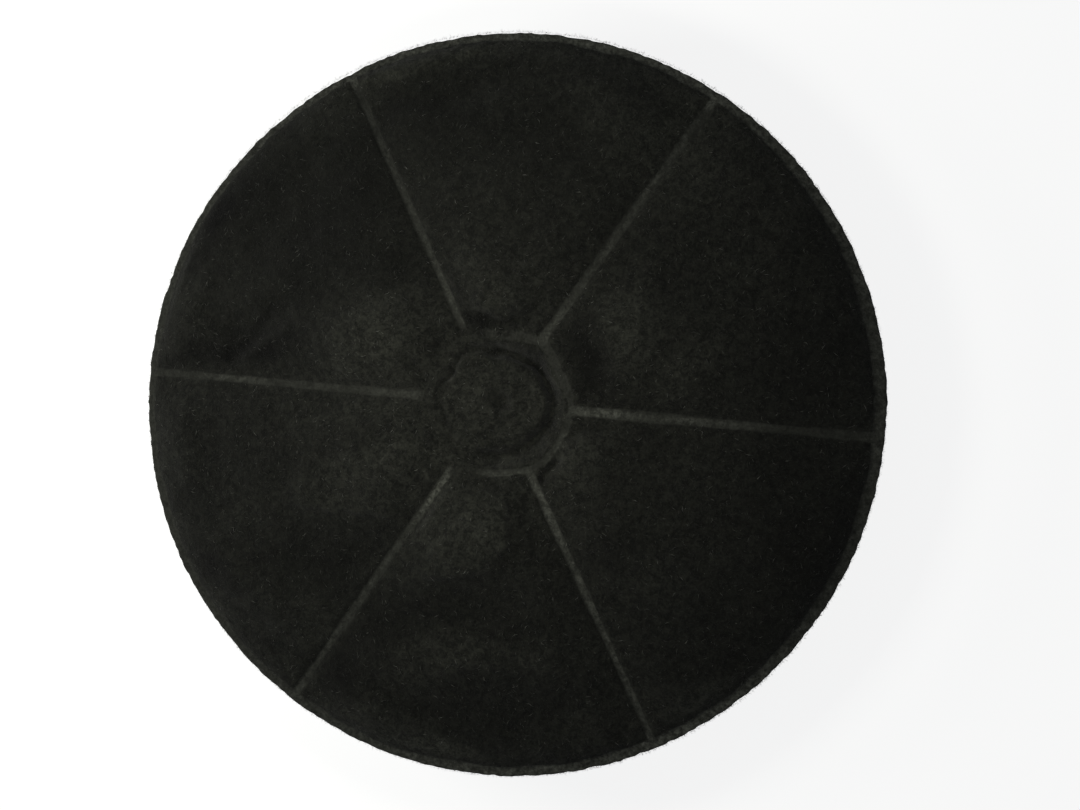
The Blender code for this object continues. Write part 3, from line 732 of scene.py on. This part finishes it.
def new_piece(name, points, faces, material):
    """A mesh object from points in millimetres, riding on the filter's one body."""
    mesh = bpy.data.meshes.new(name)
    mesh.from_pydata((np.asarray(points) * MM).tolist(), [], faces)
    mesh.materials.append(material)
    mesh.shade_smooth()
    piece = add_object(name, mesh)
    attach(piece, "root")
    return piece


def add_attribute(piece, name, values):
    """Keeps one number for each point of the mesh, for its material."""
    layer = piece.data.attributes.new(name, "FLOAT", "POINT")
    layer.data.foreach_set("value", np.asarray(values, np.float32))


def ring_angles(radius, spacing):
    """Angles round a row in 12 runs: across each rib in close steps, then over the bay after it."""
    half = math.asin(RIB_FINE_HALF / max(radius, HUB_WELD_INNER))
    fine = max(1, round(RIB_FINE_STEPS * min(1.0, radius / HUB_WELD_INNER, RIB_FINE_SPACING / spacing)))
    bay = BAY_ANGLE - 2 * half
    coarse = max(1, round(radius * bay / spacing))
    runs = []
    for index in range(RIB_COUNT):
        turn = FIRST_RIB_ANGLE + index * BAY_ANGLE
        runs.append([turn - half + 2 * half * step / fine for step in range(fine)])
        runs.append([turn + half + bay * step / coarse for step in range(coarse)])
    return runs


def cover_rows():
    """The mesh's rows, from the middle of its top round to its underside: radius, spacing, depth."""
    rows = []
    start = 0.0
    for end, row_spacing, point_spacing in TOP_STRETCHES:
        count = math.ceil((end - start) / row_spacing)
        steps = [start + (end - start) * (step + 1) / count for step in range(count)]
        rows += [(radius, point_spacing, 0.0) for radius in steps]
        start = end
    rows += [(radius, EDGE_SPACING, depth) for radius, depth in EDGE_ROWS]
    for radius in UNDERSIDE_ROWS:
        rows.append((radius, EDGE_SPACING if radius > EDGE_ROWS_START else UNDERSIDE_SPACING, 1.0))
    return rows


def zip_runs(inner, outer, faces):
    """Triangles between two runs of points that start and end side by side."""
    i = j = 0
    last_i, last_j = len(inner) - 1, len(outer) - 1
    while i < last_i or j < last_j:
        if i == last_i or (j < last_j and (j + 1) * last_i <= (i + 1) * last_j):
            faces.append((inner[i], outer[j], outer[j + 1]))
            j += 1
        else:
            faces.append((inner[i], outer[j], inner[i + 1]))
            i += 1


def cover_net():
    """Places, depths and faces of the cover's closed mesh. Depth is 0 on top and 1 on the underside."""
    places = [(0.0, 0.0, 0.0)]
    faces = []
    previous = [[0]] * (2 * RIB_COUNT)
    for radius, spacing, depth in cover_rows():
        ring = []
        for run in ring_angles(radius, spacing):
            first = len(places)
            places += [(radius * math.cos(angle), radius * math.sin(angle), depth) for angle in run]
            ring.append(list(range(first, len(places))))
        closed = [run + [ring[(place + 1) % len(ring)][0]] for place, run in enumerate(ring)]
        for inner, outer in zip(previous, closed):
            zip_runs(inner, outer, faces)
        previous = closed
    middle = len(places)
    places.append((0.0, 0.0, 1.0))
    for run in previous:
        zip_runs(run, [middle], faces)
    return np.array(places), faces


def edge_stretch(x, y):
    """How far the ragged cut edge moves a place outwards, as a factor."""
    along = np.arctan2(y, x) * COVER_RADIUS
    ragged = layered(along, 0 * along, EDGE_WAVES) + round_rim(x, y, EDGE_OFFSETS)
    near_edge = np.clip((np.hypot(x, y) - COVER_RADIUS + EDGE_BAND) / EDGE_BAND, 0, 1)
    return 1 + ragged * near_edge / COVER_RADIUS


def underside(x, y, radius, top, thickness, weld):
    """Level of the cover's underside, over the granules and on the tray."""
    under = np.maximum(top - thickness, np.minimum(bed_top(x, y), top - LEAST_THICKNESS))
    under = np.maximum(under, np.where(radius > HUB_WELD_INNER, SEAT_LEVEL, 0.0))
    on_ring = (radius > HUB_WELD_INNER) & (radius < HUB_WELD_RADIUS)
    return np.where((weld > PRESSED) | on_ring, SEAT_LEVEL, under)


def build_cover(material):
    """The felt cover: one closed sheet with its form, its welds, and its tone with painted light and shade.
    """
    places, faces = cover_net()
    x, y, depth = places.T
    radius = np.hypot(x, y)
    stretch = edge_stretch(x, y)
    x, y = x * stretch, y * stretch
    top, thickness, weld = cover_form(x, y)
    z = top * (1 - depth) + underside(x, y, radius, top, thickness, weld) * depth
    cover = new_piece("cover_sheet", np.column_stack([x, y, z]), faces, material)
    add_attribute(cover, "weld", weld)
    # Tone with painted light and painted shade.
    add_attribute(cover, "tone_and_painted_light", tone_and_painted_light_at(x, y))
    # Painted highlights and painted shade on the welds.
    add_attribute(cover, "weld_painted_light", weld_painted_light_at(x, y))
    add_attribute(cover, "smooth", smooth_at(x, y))
    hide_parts("felt_cover")
    return cover


def fibre_mesh(starts, middles, ends, thickness):
    """Fibres as slim closed spindles of six faces, bent at their middles."""
    count = len(starts)
    along = ends - starts
    along /= np.linalg.norm(along, axis=1, keepdims=True)
    side = np.cross(along, np.array([0.0, 0.0, 1.0]))
    side /= np.linalg.norm(side, axis=1, keepdims=True)
    up = np.cross(side, along)
    points = np.empty((count, FIBRE_POINTS, 3))
    points[:, 0] = starts
    points[:, 4] = ends
    for corner in range(3):
        turn = corner * math.tau / 3
        reach = (math.cos(turn) * side + math.sin(turn) * up) * thickness[:, None] / 2
        points[:, corner + 1] = middles + reach
    pattern = np.array([(0, 2, 1), (0, 3, 2), (0, 1, 3), (4, 1, 2), (4, 2, 3), (4, 3, 1)])
    faces = (np.arange(count)[:, None, None] * FIBRE_POINTS + pattern).reshape(-1, 3)
    return points.reshape(-1, 3), faces.tolist()


def spread(random, count, least, most, crowding=1):
    """Random values from least to most, nearer the least with more crowding."""
    return least + (most - least) * random.random(count) ** crowding


def fibre_shades(count, random):
    """Lightness of each fibre: mostly as dark as the felt, with a few much paler ones as painted glints."""
    shades = spread(random, count, *FIBRE_SHADES)
    return np.where(random.random(count) < PAINTED_GLINT_SHARE, spread(random, count, *PAINTED_GLINT_SHADES), shades)


def build_fibres(name, points, faces, material, random):
    """One piece of fibres, each with its own shade."""
    fibres = new_piece(name, points, faces, material)
    count = len(points) // FIBRE_POINTS
    add_attribute(fibres, "shade", np.repeat(fibre_shades(count, random), FIBRE_POINTS))
    return fibres


def nap_roots(random):
    """Where the loose fibres of one piece start, fewer of them on the welds."""
    tries = 2 * NAP_FIBRES
    radius = COVER_RADIUS * np.sqrt(random.random(tries)) * NAP_SPREAD
    angle = random.random(tries) * math.tau
    x, y = radius * np.cos(angle), radius * np.sin(angle)
    weld = cover_form(x, y)[2]
    kept = np.flatnonzero(random.random(tries) > WELD_BARENESS * weld)[:NAP_FIBRES]
    return x[kept], y[kept]


def on_felt(x, y, height):
    """Places at a height over the felt, drawn in from beyond its edge."""
    reach = np.minimum(1.0, (COVER_RADIUS - NAP_EDGE_GAP) / np.maximum(np.hypot(x, y), 1.0))
    x, y = x * reach, y * reach
    return np.column_stack([x, y, cover_form(x, y)[0] + height])


def build_nap(index, material, random):
    """Loose fibres over the cover's top."""
    x, y = nap_roots(random)
    count = len(x)
    heading = random.random(count) * math.tau
    length = spread(random, count, *NAP_LENGTHS)
    bend = spread(random, count, *NAP_BENDS)
    lift = spread(random, count, *NAP_LIFTS)
    end_lift = NAP_END_LIFT * lift * (random.random(count) > NAP_TUCKED)
    middle_x = x + np.cos(heading) * length / 2
    middle_y = y + np.sin(heading) * length / 2
    end_x = middle_x + np.cos(heading + bend) * length / 2
    end_y = middle_y + np.sin(heading + bend) * length / 2
    starts = on_felt(x, y, -NAP_ROOT)
    middles = on_felt(middle_x, middle_y, NAP_ARCH + lift)
    ends = on_felt(end_x, end_y, end_lift - NAP_ROOT)
    points, faces = fibre_mesh(starts, middles, ends, spread(random, count, *NAP_THICKNESS))
    return build_fibres(f"cover_nap_{index}", points, faces, material, random)


def build_edge_fibres(material, random):
    """Short fibres that stand out of the cover's cut edge."""
    angle = random.random(EDGE_FIBRES) * math.tau
    heading = angle + spread(random, EDGE_FIBRES, *EDGE_TURNS)
    length = spread(random, EDGE_FIBRES, *EDGE_LENGTHS)
    level = SEAT_LEVEL + WELD_THICKNESS * spread(random, EDGE_FIBRES, *EDGE_LEVELS)
    tilt = spread(random, EDGE_FIBRES, *EDGE_TILTS)
    bow = spread(random, EDGE_FIBRES, *EDGE_BOWS) * length
    radius = COVER_RADIUS - EDGE_ROOT
    starts = np.column_stack([radius * np.cos(angle), radius * np.sin(angle), level])
    step = np.column_stack([np.cos(heading), np.sin(heading), tilt]) * length[:, None]
    sideways = np.column_stack([-np.sin(heading), np.cos(heading), 0 * tilt])
    middles = starts + step / 2 + sideways * bow[:, None]
    thickness = spread(random, EDGE_FIBRES, *EDGE_THICKNESS)
    points, faces = fibre_mesh(starts, middles, starts + step, thickness)
    return build_fibres("cover_edge_fibres", points, faces, material, random)


def slot_sag(radius, angle):
    """How far the liner hangs into the slots. The angle is from the bay's first rib."""
    place = (radius - SLOT_START) / SLOT_PITCH
    row = np.floor(place)
    across = (place - row) * SLOT_PITCH / SLOT_WIDTH
    slots = np.where(row < INNER_SLOT_ROWS, INNER_SLOTS, OUTER_SLOTS)
    share = (angle / BAY_ANGLE * slots) % 1.0
    margin = SLOT_BAR / (radius * BAY_ANGLE / slots)
    along = (share - margin) / (1 - 2 * margin)
    inside = (row >= 0) & (row < SLOT_ROWS) & (across > 0) & (across < 1) & (along > 0) & (along < 1)
    bowl = np.clip(4 * across * (1 - across), 0, 1) ** SAG_FULLNESS
    bowl = bowl * np.clip(1 - np.abs(2 * along - 1) ** SAG_ENDS, 0, 1)
    return np.where(inside, SLOT_SAG * bowl, 0.0)


def liner_points(bay, bottom):
    """Grid of points over one bay, along the liner's underside or its top."""
    rows = np.linspace(LINER_INNER, LINER_OUTER, LINER_ROWS + 1)
    radius = np.repeat(rows, LINER_COLUMNS + 1)
    share = np.tile(np.linspace(0, 1, LINER_COLUMNS + 1), LINER_ROWS + 1)
    edge = np.arcsin(LINER_SIDE / radius)
    within = edge + share * (BAY_ANGLE - 2 * edge)
    angle = FIRST_RIB_ANGLE + bay * BAY_ANGLE + within
    x, y = radius * np.cos(angle), radius * np.sin(angle)
    level = GRILLE_TOP + GRILLE_SEAT
    if bottom:
        sag = slot_sag(radius, within)
        z = level - sag * (1 + layered(x, y, SAG_WAVES)) + granules(x, y, *LINER_GRANULES) * (sag > 0)
    else:
        z = level + LINER_THICKNESS + layered(x, y, LINER_WAVES)
    return np.column_stack([x, y, z])


def build_liner(bay, material):
    """The felt liner of one bay: a top, an underside and the edge between them."""
    count = (LINER_ROWS + 1) * (LINER_COLUMNS + 1)
    points = np.vstack([liner_points(bay, False), liner_points(bay, True)])
    grid = np.arange(count).reshape(LINER_ROWS + 1, LINER_COLUMNS + 1)
    corners = (grid[:-1, :-1], grid[1:, :-1], grid[1:, 1:], grid[:-1, 1:])
    top = np.stack(corners, axis=-1).reshape(-1, 4)
    below = top[:, [0, 3, 2, 1]] + count
    here = np.concatenate([grid[0, :-1], grid[:-1, -1], grid[-1, :0:-1], grid[:0:-1, 0]])
    there = np.roll(here, -1)
    edge = np.column_stack([here, there, there + count, here + count])
    faces = np.vstack([top, below, edge]).tolist()
    liner = new_piece(f"liner_sheet_{bay + 1}", points, faces, material)
    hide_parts(f"liner_felt_{bay + 1}")
    return liner


def set_inputs(tree, node, inputs):
    """Gives each input, by name or place, a number, a colour or a link."""
    for name, value in inputs.items():
        if isinstance(value, bpy.types.NodeSocket):
            tree.links.new(value, node.inputs[name])
        else:
            node.inputs[name].default_value = (*value, 1.0) if isinstance(value, tuple) else value


def add_node(tree, kind, inputs=None, **settings):
    """A new node with its settings and inputs."""
    node = tree.nodes.new(kind)
    for name, value in settings.items():
        setattr(node, name, value)
    set_inputs(tree, node, inputs or {})
    return node


def shade_round(node):
    """Shades a solid's round walls smooth and keeps its corners sharp."""
    group = bpy.data.node_groups.new("shade_round", "GeometryNodeTree")
    for side in ("INPUT", "OUTPUT"):
        group.interface.new_socket("Geometry", in_out=side, socket_type="NodeSocketGeometry")
    angle = add_node(group, "GeometryNodeInputMeshEdgeAngle").outputs["Unsigned Angle"]
    steep = add_node(group, "FunctionNodeCompare", {"A": angle, "B": CORNER_ANGLE}).outputs["Result"]
    sharp = {"Selection": steep, "Shade Smooth": False}
    chain = (
        add_node(group, "NodeGroupInput"),
        add_node(group, "GeometryNodeMergeByDistance", {"Distance": JOIN_DISTANCE}),
        add_node(group, "GeometryNodeRemoveAttribute", {"Name": "custom_normal"}),
        add_node(group, "GeometryNodeSetShadeSmooth"),
        add_node(group, "GeometryNodeSetShadeSmooth", sharp, domain="EDGE"),
        add_node(group, "NodeGroupOutput"),
    )
    for earlier, later in zip(chain, chain[1:]):
        group.links.new(earlier.outputs["Geometry"], later.inputs["Geometry"])
    node.modifiers.new("shade_round", "NODES").node_group = group


def new_material(name):
    """A material, its node tree and its shader."""
    material = bpy.data.materials.new(name)
    material.use_nodes = True
    return material, material.node_tree, material.node_tree.nodes["Principled BSDF"]


def add_noise(tree, scale, detail, roughness, distortion=0.0):
    """Noise that keeps to the piece."""
    place = add_node(tree, "ShaderNodeTexCoord").outputs["Object"]
    inputs = {"Vector": place, "Scale": scale, "Detail": detail}
    inputs |= {"Roughness": roughness, "Distortion": distortion}
    return add_node(tree, "ShaderNodeTexNoise", inputs).outputs["Fac"]


def add_layer(tree, name):
    return add_node(tree, "ShaderNodeAttribute", attribute_name=name).outputs["Fac"]


def add_range(tree, value, span, target):
    """The value, with a span of it laid over the target."""
    names = ("Value", "From Min", "From Max", "To Min", "To Max")
    inputs = dict(zip(names, (value, *span, *target)))
    return add_node(tree, "ShaderNodeMapRange", inputs).outputs["Result"]


def add_math(tree, operation, first, second):
    """Result of an operation on two values, each a number or a link."""
    return add_node(tree, "ShaderNodeMath", {0: first, 1: second}, operation=operation).outputs["Value"]


def add_mix(tree, factor, first, second):
    """Mix of two colours, each a colour or a link."""
    node = add_node(tree, "ShaderNodeMix", {"Factor": factor}, data_type="RGBA")
    first_place, second_place = [place for place, socket in enumerate(node.inputs) if socket.type == "RGBA"]
    set_inputs(tree, node, {first_place: first, second_place: second})
    return next(socket for socket in node.outputs if socket.type == "RGBA")


def add_scaled(tree, colour, factor):
    """The colour times the factor."""
    inputs = {0: colour, "Scale": factor}
    return add_node(tree, "ShaderNodeVectorMath", inputs, operation="SCALE").outputs["Vector"]


def add_bump(tree, height, strength, distance):
    """Relief over this distance in metres."""
    inputs = {"Height": height, "Strength": strength, "Distance": distance}
    return add_node(tree, "ShaderNodeBump", inputs).outputs["Normal"]


def add_calm(tree, speckle):
    """The speckle, drawn towards its middle where the felt is smooth."""
    kept = add_math(tree, "SUBTRACT", 1.0, add_layer(tree, "smooth"))
    swing = add_math(tree, "SUBTRACT", speckle, CALM_SPECKLE)
    return add_math(tree, "ADD", add_math(tree, "MULTIPLY", swing, kept), CALM_SPECKLE)


def add_welds(tree, colour, height):
    """The colour with its welds, pressed to a grey with painted glints and painted shade on it."""
    streaks = add_range(tree, add_noise(tree, scale=420, detail=4, roughness=0.7), (0.3, 0.7), (0.4, 1.0))
    # Noise for the painted glints on the welds.
    glints = add_range(tree, add_noise(tree, scale=800, detail=3, roughness=0.7), (0.38, 0.68), (0.2, 1.9))
    weld_painted_light = add_math(tree, "MULTIPLY", add_layer(tree, "weld_painted_light"), glints)
    pressed = add_mix(tree, add_range(tree, height, GRAIN_SPAN, FULL), *PRESSED_COLOURS)
    pressed = add_scaled(tree, pressed, add_math(tree, "ADD", weld_painted_light, 1.0))
    share = add_math(tree, "MULTIPLY", add_layer(tree, "weld"), streaks)
    return add_mix(tree, share, colour, pressed)


def felt_material(name, colours, is_cover):
    """Needle felt with a fine matted grain, and on the cover also its tone with painted light and shade,
    and its welds.
    """
    material, tree, shader = new_material(name)
    grain = add_noise(tree, scale=1500, detail=5, roughness=0.75, distortion=0.3)
    matted = add_noise(tree, scale=480, detail=3, roughness=0.6, distortion=0.8)
    curls = add_noise(tree, scale=290, detail=2, roughness=0.5, distortion=2.5)
    height = add_math(tree, "ADD", grain, add_math(tree, "MULTIPLY", matted, MATTED_SHARE))
    speckle = add_range(tree, height, GRAIN_SPAN, FULL)
    if is_cover:
        speckle = add_calm(tree, speckle)
    colour = add_mix(tree, speckle, *colours)
    colour = add_scaled(tree, colour, add_range(tree, curls, (0.36, 0.64), (0.86, 1.14)))
    if is_cover:
        # The cover's tone, with painted light and painted shade in it.
        colour = add_scaled(tree, colour, add_math(tree, "ADD", add_layer(tree, "tone_and_painted_light"), 1.0))
        colour = add_welds(tree, colour, height)
    relief = add_bump(tree, height, strength=0.7, distance=0.0004)
    set_inputs(tree, shader, {"Base Color": colour, "Normal": relief, **FELT_FINISH})
    return material


def fibre_material():
    """Single fibres of the felt, each with its own shade."""
    material, tree, shader = new_material("felt_fibre")
    noise = add_noise(tree, scale=900, detail=2, roughness=0.5)
    tint = add_mix(tree, add_range(tree, noise, (0.3, 0.7), FULL), *FIBRE_TINTS)
    colour = add_scaled(tree, tint, add_layer(tree, "shade"))
    set_inputs(tree, shader, {"Base Color": colour, **FIBRE_FINISH})
    return material


def plastic_material():
    """Moulded black polypropylene with a fine satin grain and a little carbon dust in it."""
    material, tree, shader = new_material("moulded_plastic")
    grain = add_noise(tree, scale=2600, detail=3, roughness=0.6)
    flow = add_noise(tree, scale=45, detail=4, roughness=0.6, distortion=0.6)
    colour = add_mix(tree, add_range(tree, flow, (0.35, 0.7), FULL), *PLASTIC_COLOURS)
    satin = add_range(tree, flow, (0.3, 0.7), (0.34, 0.46))
    rough = add_math(tree, "ADD", satin, add_math(tree, "MULTIPLY", grain, PLASTIC_GRAIN))
    relief = add_bump(tree, grain, strength=0.35, distance=0.00006)
    set_inputs(tree, shader, {"Base Color": colour, "Roughness": rough, "Normal": relief, **PLASTIC_FINISH})
    return material


def granule_material():
    """Activated carbon: dull black grains, each paler in its middle as a painted highlight and darker
    towards its edges as painted shade between grains.
    """
    material, tree, shader = new_material("carbon_granules")
    place = add_node(tree, "ShaderNodeTexCoord").outputs["Object"]
    cell = add_node(tree, "ShaderNodeTexVoronoi", {"Vector": place, "Scale": 420})
    # Paler in each grain's middle and darker between grains: painted highlight and painted shade.
    tint = add_range(tree, cell.outputs["Distance"], (0.0, 0.6), (1.0, 0.0))
    colour = add_mix(tree, tint, *CARBON_COLOURS)
    relief = add_bump(tree, tint, strength=1.0, distance=0.0012)
    set_inputs(tree, shader, {"Base Color": colour, "Normal": relief, **CARBON_FINISH})
    return material


def finish_solids():
    """Gives the tray and the granule beds their finish."""
    plastic = plastic_material()
    carbon = granule_material()
    for name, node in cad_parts.items():
        if name == "housing" or name.startswith("carbon_bed"):
            node.data.materials.clear()
            node.data.materials.append(plastic if name == "housing" else carbon)
    shade_round(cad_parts["housing"])


def seen_directly(tree):
    """1 for camera, glossy and transmission rays, and 0 for the rest."""
    path = add_node(tree, "ShaderNodeLightPath").outputs
    either = add_math(tree, "MAXIMUM", path["Is Camera Ray"], path["Is Glossy Ray"])
    return add_math(tree, "MAXIMUM", either, path["Is Transmission Ray"])


def floor_material():
    """A pale floor that looks white and keeps the filter's shadow."""
    material, tree, shader = new_material("pale_floor")
    tree.nodes.remove(shader)
    strength = add_math(tree, "MULTIPLY", seen_directly(tree), FLOOR_WHITE)
    glow = add_node(tree, "ShaderNodeEmission", {"Strength": strength}).outputs["Emission"]
    diffuse = add_node(tree, "ShaderNodeBsdfDiffuse", {"Color": FLOOR_COLOUR}).outputs["BSDF"]
    both = add_node(tree, "ShaderNodeAddShader", {0: diffuse, 1: glow}).outputs["Shader"]
    set_inputs(tree, tree.nodes["Material Output"], {"Surface": both})
    return material


def add_object(name, data):
    """An object in the scene with this mesh, lamp or camera."""
    new = bpy.data.objects.new(name, data)
    bpy.context.scene.collection.objects.link(new)
    return new


def build_floor():
    half = FLOOR_SIZE / 2
    corners = ((-1, -1), (1, -1), (1, 1), (-1, 1))
    mesh = bpy.data.meshes.new("floor")
    mesh.from_pydata([(x * half, y * half, -FLOOR_DROP) for x, y in corners], [], [(0, 1, 2, 3)])
    mesh.materials.append(floor_material())
    add_object("floor", mesh)


def build_world():
    """White where it is seen, and a weak cool fill where it lights the filter."""
    world = bpy.data.worlds.new("studio")
    bpy.context.scene.world = world
    world.use_nodes = True
    tree = world.node_tree
    mask = seen_directly(tree)
    colour = add_mix(tree, mask, FILL_COLOUR, WHITE)
    strength = add_range(tree, mask, FULL, (FILL_STRENGTH, 1.0))
    set_inputs(tree, tree.nodes["Background"], {"Color": colour, "Strength": strength})


def build_lamps():
    """Square lamps that face the middle of the filter."""
    for name, place, size, power, colour in LAMPS:
        data = bpy.data.lights.new(name, "AREA")
        data.size = size
        data.energy = power
        data.color = colour
        lamp = add_object(name, data)
        lamp.location = place
        lamp.rotation_euler = (-Vector(place)).to_track_quat("-Z", "Y").to_euler()
        lamp.visible_camera = False


def build_camera():
    """Straight over the felt, a little to its right, as in the photograph."""
    data = bpy.data.cameras.new("camera")
    data.lens = CAMERA_LENS
    data.sensor_width = CAMERA_SENSOR
    data.clip_start = CAMERA_NEAR
    camera = add_object("camera", data)
    camera.location = Vector(CAMERA_PLACE) * COVER_RADIUS * MM + Vector((0, 0, WELD_LEVEL * MM))
    camera.rotation_euler = [math.radians(angle) for angle in CAMERA_TILT]
    bpy.context.scene.camera = camera


def build_felt():
    """The cover with its loose fibres, and the six liners."""
    random = np.random.default_rng(SEED)
    cover_felt = felt_material("cover_felt", FELT_COLOURS, True)
    liner_felt = felt_material("liner_felt", LINER_COLOURS, False)
    fibre = fibre_material()
    cover = build_cover(cover_felt)
    naps = [build_nap(index + 1, fibre, random) for index in range(NAP_PIECES)]
    naps.append(build_edge_fibres(fibre, random))
    for bay in range(RIB_COUNT):
        liner = build_liner(bay, liner_felt)


build_felt()
finish_solids()
build_floor()
build_world()
build_lamps()
build_camera()
bpy.context.scene.view_settings.view_transform = "Standard"
